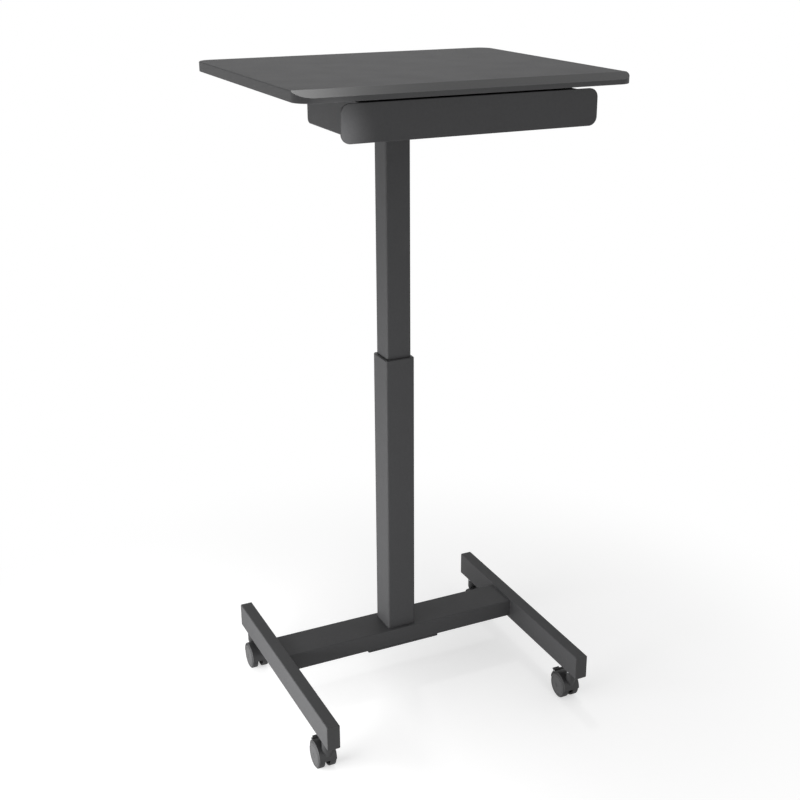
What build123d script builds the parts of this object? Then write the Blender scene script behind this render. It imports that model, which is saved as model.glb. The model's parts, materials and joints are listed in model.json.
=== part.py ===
from build123d import *
import os
from math import cos, radians, sin

# A rolling laptop table: one telescopic column on an H-shaped base, a board top with a drawer under it.
# Origin on the floor under the middle of the top. +X is the user's right, -Y faces the user, +Z is up.
# The table stands at its highest position, as photographed. All sizes are in millimetres.

os.makedirs("parts", exist_ok=True)

# Overall heights and travel
top_height = 1241.0
lift_stroke = 474.0
drawer_travel = 170.0

# Tabletop board
top_width = 600.0
top_depth = 520.0
top_thick = 17.5
top_corner_r = 28.0
top_edge_r = 2.0
top_under_edge = 0.5
bevel_run = 28.0
bevel_drop = 9.5

# Column
column_y = 60.0
outer_size = 60.0
outer_wall = 2.0
outer_corner_r = 4.0
outer_top = 693.5
inner_size = 50.0
inner_wall = 2.0
inner_corner_r = 3.5
inner_foot_clear = 15.0
bush_height = 45.0
glide_height = 60.0
glide_lip = 1.2

# Base
leg_span = 553.0
leg_length = 490.0
leg_width = 25.0
leg_height = 49.0
leg_wall = 1.5
leg_corner_r = 2.5
leg_under = 69.5
leg_shift = 2.0
cap_flange = 2.0
cap_depth = 12.0
cap_edge = 0.5
beam_width = 80.0
beam_height = 36.0
beam_wall = 2.0
beam_corner_r = 3.0
beam_step = 5.5
foot_plate_length = 158.0
foot_plate_width = 78.0
foot_plate_thick = 4.0
foot_bolt_spread = (116.0, 46.0)

# Gas spring
cylinder_r = 14.0
cylinder_wall = 1.5
cylinder_plug = 12.0
guide_length = 25.0
rod_r = 5.0
rod_stand = 8.5
piston_thick = 12.0
spigot_r = 3.5
rivet_r = 5.5
rivet_h = 2.5
release_pin_r = 2.0
release_pin_length = 34.0
release_pin_rise = 5.0
release_pin_nose = 1.0
foot_stud_length = 14.0

# Column head
head_plate_thick = 5.0
head_plate_size = (112.0, 72.0)
head_length = 220.0
head_rise = 30.0
head_width = 70.0
head_flange = 18.0
head_sheet = 2.5
head_bend_r = 3.0
head_bolt_spread = (80.0, 50.0)
head_screw_spread = 176.0

# Release lever
lever_sheet = 3.0
lever_width = 18.0
lever_reach = 262.0
lever_tail = 8.0
lever_pivot_x = 35.0
lever_pivot_r = 3.0
lever_pivot_drop = 4.8
lever_ear_sheet = 2.5
lever_ear_r = 6.0
lever_bend_r = 6.0
lever_pin_edge = 0.5
lever_drop = 17.0
grip_length = 74.0
grip_width = 26.0
grip_thick = 12.0
grip_corner_r = 4.0
grip_end_r = 3.0
clevis_sheet = 2.0
clevis_length = 26.0
clevis_rise = 16.0

# Drawer
tray_width = 390.0
tray_rear_y = -24.0
tray_drop = 64.0
tray_sheet = 1.2
tray_back_r = 9.0
tray_edge_r = 2.5
tray_flange = 16.0
tray_top_gap = 4.5
front_width = 458.0
front_height = 61.0
front_thick = 4.0
front_setback = 4.5
front_corner_r = 15.0
front_edge_r = 0.8
front_below_tray = 0.5
front_screw_spread = (320.0, 34.0)
runner_sheet = 1.5
runner_web_gap = 4.0
runner_lip = 15.0
runner_rear_gap = 4.0
runner_screw_inset = 24.0
runner_screw_head = 0.75
drawer_glide_length = 30.0
drawer_glide_edge = 0.5

# Casters
wheel_r = 25.5
wheel_face_r = 22.5
wheel_chamfer = 1.6
caster_width = 36.0
caster_trail = 22.0
caster_inset = 35.0
web_thick = 10.0
wheel_disc = 2.5
wheel_rim = 3.5
wheel_hub_r = 7.0
wheel_rib = 1.6
wheel_rib_count = 6
face_groove_r = 20.0
face_groove_width = 0.9
face_groove_depth = 0.6
hub_dish_r = 5.0
axle_r = 3.0
axle_end_clear = 3.0
hood_gap = 0.8
hood_thick = 2.0
hood_inset = 1.0
hood_edge_r = 0.8
front_hood_end = 60.0
neck_r = 10.0
neck_foot_r = 6.0
neck_taper = (34.0, 50.0)
stem_r = 5.0
stem_foot_z = 47.0
stem_rise = 14.0
stem_collar = 4.5
ring_z = 50.0
ring_height = 1.2
ring_out_r = 5.8
ring_in_r = 4.35
pedal_pivot_angle = 52.0
pedal_lug_r = 3.4
pedal_pin_r = 1.5
pedal_width = 30.0
pedal_sheet = 2.2
pedal_skirt_end = 8.0
pedal_tab_angle = 24.0
pedal_tab_reach = 40.0
pedal_tab_width = 14.0
pedal_tab_sheet = 3.0
pedal_tab_r = 1.0
pedal_ridge_r = 0.7
pedal_ridge_step = 2.4
pedal_ridge_count = 3
shoe_angle = 34.0
shoe_width = 5.0

# Fasteners
nut_across = 17.0
nut_height = 6.0
foot_bolt_r = 4.0
foot_bolt_across = 13.0
foot_bolt_head = 5.3
head_bolt_r = 3.0
head_bolt_across = 10.0
head_bolt_head = 4.0
head_nut_height = 5.0
wood_screw_r = 2.0
wood_screw_bite = 12.0
wood_screw_head_r = 4.0
wood_screw_head = 2.4
screw_head_taper = 20.0
panel_screw_r = 1.75
panel_screw_bite = 3.0

# Clearances
fit_gap = 0.05
slide_gap = 0.3
weld_gap = 0.3
cut_over = 1.0

# Places worked out from the sizes
top_under = top_height - top_thick
top_front = -top_depth / 2
leg_top = leg_under + leg_height
leg_x = (leg_span - leg_width) / 2
beam_top = leg_top - beam_step
beam_under = beam_top - beam_height
beam_length = leg_span - 2 * leg_width
foot_plate_under = beam_under - foot_plate_thick
outer_bore = outer_size - 2 * outer_wall
inner_bore = inner_size - 2 * inner_wall
inner_foot = beam_under + inner_foot_clear + lift_stroke
head_base = top_under - head_rise
inner_top = head_base - head_plate_thick
rod_top = head_base + head_sheet + rod_stand
cylinder_top = inner_top - nut_height - lift_stroke - head_bolt_head - cut_over
cylinder_bore = cylinder_r - cylinder_wall
piston_top = cylinder_top - guide_length - slide_gap
pin_top = rod_top + release_pin_rise
lever_under = pin_top + slide_gap
lever_pivot_z = lever_under - lever_pivot_drop
hood_r = wheel_r + hood_gap
axle_point = (caster_trail, wheel_r)
pedal_pivot_r = wheel_r + slide_gap + pedal_lug_r
pedal_pivot = (
    caster_trail + pedal_pivot_r * cos(radians(pedal_pivot_angle)),
    wheel_r + pedal_pivot_r * sin(radians(pedal_pivot_angle)),
)
tray_top = top_under - tray_top_gap
tray_floor_z = top_under - tray_drop
front_face = top_front + front_setback
tray_front = front_face + front_thick
glide_front = tray_rear_y - runner_rear_gap - drawer_glide_length - slide_gap
tab_back = glide_front - drawer_travel - slide_gap
caster_offsets = (
    ("front", leg_shift - leg_length / 2 + caster_inset, 1),
    ("rear", leg_shift + leg_length / 2 - caster_inset, -1),
)
sides = (("left", -1), ("right", 1))
stem_points = [(side * leg_x, stem_y) for _, stem_y, _ in caster_offsets for _, side in sides]
column_plane = Plane((0, column_y, 0))


def write_step(piece, node):
    """Label a finished piece and write it under its node's name."""
    piece.part.label = node
    export_step(piece.part, f"parts/{node}.step")


def square_ring(plane, outer, outer_r, bore, bore_r):
    """The section of a square tube or sleeve."""
    with BuildSketch(plane) as section:
        RectangleRounded(outer, outer, outer_r)
        RectangleRounded(bore, bore, bore_r, mode=Mode.SUBTRACT)
    return section.sketch


def folded_section(plane, points, thick, bend_r, side):
    """The section of folded sheet: straight runs joined by bends, with its thickness on one side."""
    with BuildSketch(plane) as section:
        with BuildLine():
            FilletPolyline(*points, radius=bend_r)
            offset(amount=thick, side=side)
        make_face()
    return section.sketch


def make_bolts(points, under_head, shank_r, length, across, head):
    """Hex bolts entered from below, their heads hanging under the given height."""
    with BuildPart() as bolts:
        with BuildSketch(Plane.XY.offset(under_head)):
            with Locations(*points):
                Circle(shank_r)
        extrude(amount=length)
        with BuildSketch(Plane.XY.offset(under_head)):
            with Locations(*points):
                RegularPolygon(across / 2, 6, major_radius=False)
        extrude(amount=-head)
    return bolts


def make_nuts(points, seat, bore_r, across, height):
    """Hex nuts standing on the given height."""
    with BuildPart() as nuts:
        with BuildSketch(Plane.XY.offset(seat)):
            with Locations(*points):
                RegularPolygon(across / 2, 6, major_radius=False)
                Circle(bore_r, mode=Mode.SUBTRACT)
        extrude(amount=height)
    return nuts


def make_wood_screws(points, under_head):
    """Pan-head screws driven up into the board."""
    with BuildPart() as screws:
        with BuildSketch(Plane.XY.offset(under_head)):
            with Locations(*points):
                Circle(wood_screw_r)
        extrude(amount=top_under - under_head + wood_screw_bite)
        with BuildSketch(Plane.XY.offset(under_head)):
            with Locations(*points):
                Circle(wood_screw_head_r)
        extrude(amount=-wood_screw_head, taper=screw_head_taper)
    return screws


def rect_points(spread, x=0.0, y=0.0):
    """The four corners of a hole pattern."""
    return [(x + i * spread[0] / 2, y + j * spread[1] / 2) for i in (-1, 1) for j in (-1, 1)]


# Tabletop: a board with rounded corners, eased edges and a sloping bevel along the front
head_screw_y = head_width / 2 + head_sheet + (head_flange - head_sheet) / 2
head_screws = rect_points((head_screw_spread, 2 * head_screw_y), y=column_y)
runner_x = tray_width / 2 - tray_sheet - tray_flange - runner_web_gap - runner_sheet
runner_front = tab_back - runner_sheet
runner_rear = tray_rear_y - runner_rear_gap + runner_sheet
runner_screw_x = runner_x + (runner_sheet + runner_lip) / 2
runner_length = runner_rear - runner_front
runner_screw_ys = (
    runner_front + runner_screw_inset,
    (runner_front + runner_rear) / 2,
    runner_rear - runner_screw_inset,
)
runner_screws = [(side * runner_screw_x, y) for _, side in sides for y in runner_screw_ys]

with BuildPart() as tabletop:
    with BuildSketch(Plane.XY.offset(top_under)):
        RectangleRounded(top_width, top_depth, top_corner_r)
    extrude(amount=top_thick)
    fillet(tabletop.faces().sort_by(Axis.Z)[-1].edges(), top_edge_r)
    chamfer(tabletop.faces().sort_by(Axis.Z)[0].edges(), top_under_edge)
    bevel_slope = bevel_drop / bevel_run
    with BuildSketch(Plane.YZ.offset(-top_width / 2 - cut_over)):
        with BuildLine():
            Polyline(
                (top_front + bevel_run + cut_over, top_height + bevel_slope * cut_over),
                (top_front - cut_over, top_height - bevel_drop - bevel_slope * cut_over),
                (top_front - cut_over, top_height + cut_over),
                close=True,
            )
        make_face()
    extrude(amount=top_width + 2 * cut_over, mode=Mode.SUBTRACT)
    with BuildSketch(Plane.XY.offset(top_under)):
        with Locations(*head_screws, *runner_screws):
            Circle(wood_screw_r + fit_gap)
    extrude(amount=wood_screw_bite + fit_gap, mode=Mode.SUBTRACT)
write_step(tabletop, "tabletop")

# Legs: closed rectangular tubes with a hole under each end for a caster stem
for side_name, side in sides:
    leg_middle = (side * leg_x, leg_under + leg_height / 2)
    leg_start = leg_shift - leg_length / 2 + cap_flange
    with BuildPart() as leg:
        with BuildSketch(Plane.XZ.offset(-leg_start)):
            with Locations(leg_middle):
                RectangleRounded(leg_width, leg_height, leg_corner_r)
                RectangleRounded(
                    leg_width - 2 * leg_wall,
                    leg_height - 2 * leg_wall,
                    leg_corner_r - leg_wall,
                    mode=Mode.SUBTRACT,
                )
        extrude(amount=-(leg_length - 2 * cap_flange))
        with BuildSketch(Plane.XY.offset(leg_under)):
            with Locations(*[point for point in stem_points if point[0] * side > 0]):
                Circle(stem_r + fit_gap)
        extrude(amount=leg_wall, mode=Mode.SUBTRACT)
    write_step(leg, f"{side_name}_leg")

# Leg end caps: a flange the size of the tube and a hollow plug inside it
with BuildPart() as end_caps:
    for end in (-1, 1):
        cap_face = leg_shift + end * leg_length / 2
        with BuildSketch(Plane.XZ.offset(-cap_face)):
            with Locations(*[(side * leg_x, leg_under + leg_height / 2) for _, side in sides]):
                RectangleRounded(leg_width, leg_height, leg_corner_r)
        extrude(amount=end * cap_flange)
        with BuildSketch(Plane.XZ.offset(-cap_face + end * cap_flange)):
            with Locations(*[(side * leg_x, leg_under + leg_height / 2) for _, side in sides]):
                plug_width = leg_width - 2 * leg_wall - 2 * fit_gap
                plug_height = leg_height - 2 * leg_wall - 2 * fit_gap
                RectangleRounded(plug_width, plug_height, leg_corner_r - leg_wall)
                Rectangle(plug_width - 2 * cap_flange, plug_height - 2 * cap_flange, mode=Mode.SUBTRACT)
        extrude(amount=end * cap_depth)
    for end in (0, -1):
        chamfer(end_caps.faces().group_by(Axis.Y)[end].edges(), cap_edge)
write_step(end_caps, "leg_end_caps")

# Crossbeam: a rectangular tube between the legs, open under and over the column that stands in it
with BuildPart() as crossbeam:
    with BuildSketch(Plane.YZ.offset(-beam_length / 2)):
        with Locations((column_y, beam_under + beam_height / 2)):
            RectangleRounded(beam_width, beam_height, beam_corner_r)
            RectangleRounded(
                beam_width - 2 * beam_wall,
                beam_height - 2 * beam_wall,
                beam_corner_r - beam_wall,
                mode=Mode.SUBTRACT,
            )
    extrude(amount=beam_length)
    with BuildSketch(column_plane.offset(beam_under)):
        RectangleRounded(outer_size + 2 * weld_gap, outer_size + 2 * weld_gap, outer_corner_r + weld_gap)
    extrude(amount=beam_height, mode=Mode.SUBTRACT)
    with BuildSketch(column_plane.offset(beam_under)):
        with Locations(*rect_points(foot_bolt_spread)):
            Circle(foot_bolt_r + fit_gap)
    extrude(amount=beam_wall, mode=Mode.SUBTRACT)
write_step(crossbeam, "crossbeam")

# Column foot: the outer tube passes through the beam and is welded to a plate bolted under it
with BuildPart() as foot_plate:
    with BuildSketch(column_plane.offset(foot_plate_under)):
        RectangleRounded(foot_plate_length, foot_plate_width, beam_corner_r)
        with Locations(*rect_points(foot_bolt_spread)):
            Circle(foot_bolt_r + fit_gap, mode=Mode.SUBTRACT)
        Circle(rod_r + fit_gap, mode=Mode.SUBTRACT)
    extrude(amount=foot_plate_thick)
write_step(foot_plate, "column_foot_plate")

foot_bolt_points = rect_points(foot_bolt_spread, y=column_y)
foot_bolt_length = foot_plate_thick + beam_wall + nut_height + cut_over
foot_bolts = make_bolts(
    foot_bolt_points, foot_plate_under, foot_bolt_r, foot_bolt_length, foot_bolt_across, foot_bolt_head
)
write_step(foot_bolts, "foot_bolts")

foot_nut_seat = beam_under + beam_wall
foot_nuts = make_nuts(foot_bolt_points, foot_nut_seat, foot_bolt_r + fit_gap, foot_bolt_across, nut_height)
write_step(foot_nuts, "foot_nuts")

with BuildPart() as outer_tube:
    extrude(
        square_ring(
            column_plane.offset(beam_under),
            outer_size,
            outer_corner_r,
            outer_bore,
            outer_corner_r - outer_wall,
        ),
        amount=outer_top - beam_under,
    )
write_step(outer_tube, "outer_tube")

# Upper bush: a sleeve in the mouth of the outer tube, with a thin lip on the tube's end
with BuildPart() as upper_bush:
    bush_bore = inner_size + 2 * slide_gap
    extrude(
        square_ring(
            column_plane.offset(outer_top - bush_height),
            outer_bore - 2 * fit_gap,
            outer_corner_r - outer_wall,
            bush_bore,
            inner_corner_r + slide_gap,
        ),
        amount=bush_height,
    )
    extrude(
        square_ring(
            column_plane.offset(outer_top),
            outer_size - outer_wall,
            outer_corner_r - outer_wall / 2,
            bush_bore,
            inner_corner_r + slide_gap,
        ),
        amount=glide_lip,
    )
write_step(upper_bush, "upper_bush")

# Inner tube and the glide sleeve on its foot
with BuildPart() as inner_tube:
    extrude(
        square_ring(
            column_plane.offset(inner_foot),
            inner_size,
            inner_corner_r,
            inner_bore,
            inner_corner_r - inner_wall,
        ),
        amount=inner_top - inner_foot,
    )
write_step(inner_tube, "inner_tube")

with BuildPart() as lower_glide:
    glide_size = outer_bore - 2 * slide_gap
    glide_r = outer_corner_r - outer_wall
    extrude(
        square_ring(
            column_plane.offset(inner_foot),
            glide_size,
            glide_r,
            inner_size + 2 * fit_gap,
            inner_corner_r + fit_gap,
        ),
        amount=glide_height,
    )
    extrude(
        square_ring(
            column_plane.offset(inner_foot - glide_lip),
            glide_size,
            glide_r,
            inner_bore,
            inner_corner_r - inner_wall,
        ),
        amount=glide_lip,
    )
write_step(lower_glide, "lower_glide")

# Gas spring: cylinder on the foot plate, guide in its mouth, rod and piston hanging from the head
with BuildPart() as cylinder:
    with BuildSketch(column_plane.offset(beam_under)):
        Circle(cylinder_r)
    extrude(amount=cylinder_top - beam_under)
    with BuildSketch(column_plane.offset(beam_under + cylinder_plug)):
        Circle(cylinder_bore)
    extrude(amount=cylinder_top - beam_under - cylinder_plug, mode=Mode.SUBTRACT)
    with BuildSketch(column_plane.offset(beam_under)):
        Circle(rod_r)
    extrude(amount=-foot_stud_length)
write_step(cylinder, "gas_spring_cylinder")

with BuildPart() as guide:
    with BuildSketch(column_plane.offset(cylinder_top - guide_length)):
        Circle(cylinder_bore - fit_gap)
        Circle(rod_r + fit_gap, mode=Mode.SUBTRACT)
    extrude(amount=guide_length)
write_step(guide, "gas_spring_guide")

foot_nut_under = foot_plate_under - nut_height
foot_nut = make_nuts([(0, column_y)], foot_nut_under, rod_r + fit_gap, nut_across, nut_height)
write_step(foot_nut, "gas_spring_foot_nut")

with BuildPart() as rod:
    piston_under = piston_top - piston_thick
    with BuildSketch(column_plane.offset(piston_top)):
        Circle(rod_r)
    extrude(amount=rod_top - piston_top)
    with BuildSketch(column_plane.offset(piston_top)):
        Circle(spigot_r)
    extrude(amount=-piston_thick)
    with BuildSketch(column_plane.offset(piston_under)):
        Circle(rivet_r)
    extrude(amount=-rivet_h)
    with BuildSketch(column_plane.offset(rod_top)):
        Circle(release_pin_r + fit_gap)
    extrude(amount=-release_pin_length, mode=Mode.SUBTRACT)
write_step(rod, "gas_spring_rod")

with BuildPart() as piston:
    with BuildSketch(column_plane.offset(piston_under)):
        Circle(cylinder_bore - fit_gap)
        Circle(spigot_r + fit_gap, mode=Mode.SUBTRACT)
    extrude(amount=piston_thick)
write_step(piston, "gas_spring_piston")

with BuildPart() as release_pin:
    with BuildSketch(column_plane.offset(pin_top)):
        Circle(release_pin_r)
    extrude(amount=-release_pin_length)
    fillet(release_pin.edges().filter_by(GeomType.CIRCLE).sort_by(Axis.Z)[-1], release_pin_nose)
write_step(release_pin, "release_pin")

rod_nut_seats = (inner_top - nut_height, head_base + head_sheet)
with BuildPart() as rod_nuts:
    for seat in rod_nut_seats:
        with BuildSketch(column_plane.offset(seat)):
            RegularPolygon(nut_across / 2, 6, major_radius=False)
            Circle(rod_r + fit_gap, mode=Mode.SUBTRACT)
        extrude(amount=nut_height)
write_step(rod_nuts, "rod_nuts")

# Column head: a plate welded on the inner tube, bolted to a folded bracket under the board
with BuildPart() as head_plate:
    with BuildSketch(column_plane.offset(inner_top)):
        RectangleRounded(head_plate_size[0], head_plate_size[1], outer_corner_r)
        with Locations(*rect_points(head_bolt_spread)):
            Circle(head_bolt_r + fit_gap, mode=Mode.SUBTRACT)
        Circle(rod_r + fit_gap, mode=Mode.SUBTRACT)
    extrude(amount=head_plate_thick)
write_step(head_plate, "head_plate")

with BuildPart() as head_bracket:
    half_width = head_width / 2
    bracket_line = (
        (column_y - half_width - head_flange, top_under),
        (column_y - half_width, top_under),
        (column_y - half_width, head_base + head_sheet),
        (column_y + half_width, head_base + head_sheet),
        (column_y + half_width, top_under),
        (column_y + half_width + head_flange, top_under),
    )
    bracket_plane = Plane.YZ.offset(-head_length / 2)
    extrude(
        folded_section(bracket_plane, bracket_line, head_sheet, head_bend_r, Side.RIGHT),
        amount=head_length,
    )
    with BuildSketch(column_plane.offset(head_base)):
        with Locations(*rect_points(head_bolt_spread)):
            Circle(head_bolt_r + fit_gap)
        Circle(rod_r + fit_gap)
    extrude(amount=head_sheet, mode=Mode.SUBTRACT)
    with BuildSketch(Plane.XY.offset(top_under)):
        with Locations(*head_screws):
            Circle(wood_screw_r + fit_gap)
    extrude(amount=-head_sheet, mode=Mode.SUBTRACT)
write_step(head_bracket, "head_bracket")

head_bolt_points = rect_points(head_bolt_spread, y=column_y)
head_bolt_length = head_plate_thick + head_sheet + head_nut_height + cut_over
head_bolts = make_bolts(
    head_bolt_points, inner_top, head_bolt_r, head_bolt_length, head_bolt_across, head_bolt_head
)
write_step(head_bolts, "head_bolts")

head_nut_seat = head_base + head_sheet
head_nut_bore = head_bolt_r + fit_gap
head_nuts = make_nuts(head_bolt_points, head_nut_seat, head_nut_bore, head_bolt_across, head_nut_height)
write_step(head_nuts, "head_nuts")

write_step(make_wood_screws(head_screws, top_under - head_sheet), "bracket_screws")

# Release lever: a bent strip over the release pin, hinged on a clevis, with a grip near the right edge
clevis_inside = lever_width + 2 * slide_gap
with BuildPart() as clevis:
    clevis_base = head_base + head_sheet
    with BuildSketch(Plane((lever_pivot_x, column_y, clevis_base))):
        Rectangle(clevis_length, clevis_inside + 2 * clevis_sheet)
    extrude(amount=clevis_sheet)
    for wall in (-1, 1):
        wall_face = column_y + wall * clevis_inside / 2
        with BuildSketch(Plane.XZ.offset(-wall_face)):
            with Locations((lever_pivot_x, clevis_base + clevis_rise / 2)):
                Rectangle(clevis_length, clevis_rise)
            with Locations((lever_pivot_x, lever_pivot_z)):
                Circle(lever_pivot_r + fit_gap, mode=Mode.SUBTRACT)
        extrude(amount=-wall * clevis_sheet)
    fillet(clevis.edges().filter_by(Axis.Y).group_by(Axis.Z)[-1], clevis_sheet)
write_step(clevis, "lever_clevis")

with BuildPart() as pivot_pin:
    pin_reach = clevis_inside / 2 + clevis_sheet + cut_over
    with BuildSketch(Plane((lever_pivot_x, column_y - pin_reach, lever_pivot_z), z_dir=(0, 1, 0))):
        Circle(lever_pivot_r)
    extrude(amount=2 * pin_reach)
    chamfer(pivot_pin.edges().filter_by(GeomType.CIRCLE), lever_pin_edge)
write_step(pivot_pin, "lever_pivot_pin")

lever_bend_x = lever_pivot_x + clevis_length / 2
grip_start = lever_reach - grip_length
grip_under = lever_under - lever_drop
lever_line = (
    (-lever_tail, lever_under),
    (lever_bend_x, lever_under),
    (grip_start, grip_under),
    (lever_reach, grip_under),
)
lever_plane = Plane.XZ.offset(-column_y - lever_width / 2)
with BuildPart() as lever:
    extrude(
        folded_section(lever_plane, lever_line, lever_sheet, lever_bend_r, Side.LEFT),
        amount=lever_width,
    )
    for wall in (-1, 1):
        ear_face = column_y + wall * lever_width / 2
        with BuildSketch(Plane.XZ.offset(-ear_face)):
            with Locations((lever_pivot_x, lever_pivot_z)):
                Circle(lever_ear_r)
            with Locations((lever_pivot_x, lever_pivot_z + lever_pivot_drop / 2)):
                Rectangle(2 * lever_ear_r, lever_pivot_drop)
        extrude(amount=wall * lever_ear_sheet)
    with BuildSketch(lever_plane):
        with Locations((lever_pivot_x, lever_pivot_z)):
            Circle(lever_pivot_r + fit_gap)
    extrude(amount=lever_width, mode=Mode.SUBTRACT)
write_step(lever, "release_lever")

with BuildPart() as grip:
    grip_middle = grip_under + lever_sheet / 2
    grip_root = grip_start + lever_tail
    with BuildSketch(Plane((grip_root, column_y, grip_middle), x_dir=(0, 1, 0), z_dir=(1, 0, 0))):
        RectangleRounded(grip_width, grip_thick, grip_corner_r)
    extrude(amount=grip_length)
    fillet(grip.faces().sort_by(Axis.X)[-1].edges(), grip_end_r)
    with BuildSketch(Plane((grip_root, column_y, grip_middle), x_dir=(0, 1, 0), z_dir=(1, 0, 0))):
        Rectangle(lever_width + 2 * fit_gap, lever_sheet + 2 * fit_gap)
    extrude(amount=lever_reach - grip_root + fit_gap, mode=Mode.SUBTRACT)
write_step(grip, "lever_grip")

# Drawer tray: folded sheet with a round rear lower bend and inturned flanges along its sides
tray_depth = tray_rear_y - tray_front
tray_height = tray_top - tray_floor_z
flange_under = tray_top - tray_sheet
runner_under = flange_under - slide_gap - runner_sheet
rear_wall_top = runner_under - slide_gap
with BuildPart() as tray:
    with BuildSketch(Plane.YZ.offset(-tray_width / 2)) as tray_side:
        with Locations(((tray_front + tray_rear_y) / 2, (tray_floor_z + tray_top) / 2)):
            Rectangle(tray_depth, tray_height)
        lower_corners = tray_side.vertices().group_by(Axis.Y)[0].sort_by(Axis.X)
        fillet(lower_corners[-1], tray_back_r)
        fillet(tray_side.vertices().group_by(Axis.Y)[0].sort_by(Axis.X)[0], tray_edge_r)
    extrude(amount=tray_width)
    for end in (0, -1):
        side_face = tray.faces().filter_by(Axis.X).sort_by(Axis.X)[end]
        fillet(side_face.edges().sort_by(Axis.Z)[:-1], tray_edge_r)
    offset(amount=-tray_sheet, openings=tray.faces().sort_by(Axis.Z)[-1])
    for _, side in sides:
        flange_x = side * (tray_width / 2 - tray_sheet - tray_flange / 2)
        with BuildSketch(Plane.XY.offset(tray_top)):
            with Locations((flange_x, (tray_front + tray_rear_y) / 2)):
                Rectangle(tray_flange, tray_depth - 2 * tray_sheet)
        extrude(amount=-tray_sheet)
    with BuildSketch(Plane.XZ.offset(-tray_rear_y)):
        with Locations((0, tray_top)):
            Rectangle(tray_width - 2 * tray_sheet, 2 * (tray_top - rear_wall_top))
    extrude(amount=tray_sheet, mode=Mode.SUBTRACT)
    with BuildSketch(Plane.XZ.offset(-tray_front)):
        with Locations(*rect_points(front_screw_spread, y=(tray_floor_z + tray_top) / 2)):
            Circle(panel_screw_r + fit_gap)
    extrude(amount=-tray_sheet, mode=Mode.SUBTRACT)
write_step(tray, "drawer_tray")

# Drawer front: a flat panel with large round corners, wider than the tray
with BuildPart() as drawer_front:
    front_middle = tray_floor_z - front_below_tray + front_height / 2
    with BuildSketch(Plane.XZ.offset(-tray_front)):
        with Locations((0, front_middle)):
            RectangleRounded(front_width, front_height, front_corner_r)
    extrude(amount=front_thick)
    fillet(drawer_front.faces().sort_by(Axis.Y)[0].edges(), front_edge_r)
    with BuildSketch(Plane.XZ.offset(-tray_front)):
        with Locations(*rect_points(front_screw_spread, y=(tray_floor_z + tray_top) / 2)):
            Circle(panel_screw_r + fit_gap)
    extrude(amount=panel_screw_bite + fit_gap, mode=Mode.SUBTRACT)
write_step(drawer_front, "drawer_front")

with BuildPart() as front_screws:
    screw_seat = Plane.XZ.offset(-tray_front - tray_sheet)
    with BuildSketch(screw_seat):
        with Locations(*rect_points(front_screw_spread, y=(tray_floor_z + tray_top) / 2)):
            Circle(panel_screw_r)
    extrude(amount=tray_sheet + panel_screw_bite)
    with BuildSketch(screw_seat):
        with Locations(*rect_points(front_screw_spread, y=(tray_floor_z + tray_top) / 2)):
            Circle(wood_screw_head_r)
    extrude(amount=-wood_screw_head, taper=screw_head_taper)
write_step(front_screws, "drawer_front_screws")

# Drawer runners: channels screwed under the board, open towards the tray's sides, with end stops
for side_name, side in sides:
    web_x = side * runner_x
    lip_x = side * (runner_x + runner_sheet + runner_lip)
    with BuildPart() as runner:
        with BuildSketch(Plane.XZ.offset(-runner_front)):
            with BuildLine():
                Polyline(
                    (web_x, runner_under),
                    (lip_x, runner_under),
                    (lip_x, runner_under + runner_sheet),
                    (web_x + side * runner_sheet, runner_under + runner_sheet),
                    (web_x + side * runner_sheet, top_under - runner_sheet),
                    (lip_x, top_under - runner_sheet),
                    (lip_x, top_under),
                    (web_x, top_under),
                    close=True,
                )
            make_face()
        extrude(amount=-runner_length)
        stop_under = tray_top + slide_gap
        for stop_y in (runner_front, runner_rear - runner_sheet):
            with BuildSketch(Plane.XZ.offset(-stop_y)):
                with BuildLine():
                    Polyline(
                        (web_x, stop_under),
                        (lip_x, stop_under),
                        (lip_x, top_under),
                        (web_x, top_under),
                        close=True,
                    )
                make_face()
            extrude(amount=-runner_sheet)
        with BuildSketch(Plane.XY.offset(top_under)):
            with Locations(*[(side * runner_screw_x, y) for y in runner_screw_ys]):
                Circle(wood_screw_r + fit_gap)
        extrude(amount=-runner_sheet, mode=Mode.SUBTRACT)
    write_step(runner, f"{side_name}_drawer_runner")

# Runner screws: low heads that keep clear of the glides passing under them
with BuildPart() as runner_screw_set:
    with BuildSketch(Plane.XY.offset(top_under - runner_sheet)):
        with Locations(*runner_screws):
            Circle(wood_screw_r)
    extrude(amount=runner_sheet + wood_screw_bite)
    with BuildSketch(Plane.XY.offset(top_under - runner_sheet)):
        with Locations(*runner_screws):
            Circle(wood_screw_head_r)
    extrude(amount=-runner_screw_head, taper=screw_head_taper)
write_step(runner_screw_set, "runner_screws")

# Drawer glides: nylon blocks on the rear ends of the tray flanges, filling the runner's height
glide_top = top_under - runner_sheet - runner_screw_head - slide_gap
for side_name, side in sides:
    glide_in = side * (runner_x + runner_sheet + slide_gap)
    glide_out = side * (runner_x + runner_sheet + runner_lip)
    with BuildPart() as drawer_glide:
        with BuildSketch(Plane.XZ.offset(-glide_front)):
            with BuildLine():
                Polyline(
                    (glide_in, tray_top),
                    (glide_out, tray_top),
                    (glide_out, glide_top),
                    (glide_in, glide_top),
                    close=True,
                )
            make_face()
        extrude(amount=-drawer_glide_length)
        fillet(drawer_glide.edges().filter_by(Axis.X).group_by(Axis.Z)[-1], drawer_glide_edge)
    write_step(drawer_glide, f"{side_name}_drawer_glide")

# Casters: nuts welded in the legs, threaded stems with a hex collar, and a snap ring on each stem
caster_nuts = make_nuts(stem_points, leg_under + leg_wall, stem_r + fit_gap, nut_across, nut_height)
write_step(caster_nuts, "caster_nuts")

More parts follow.
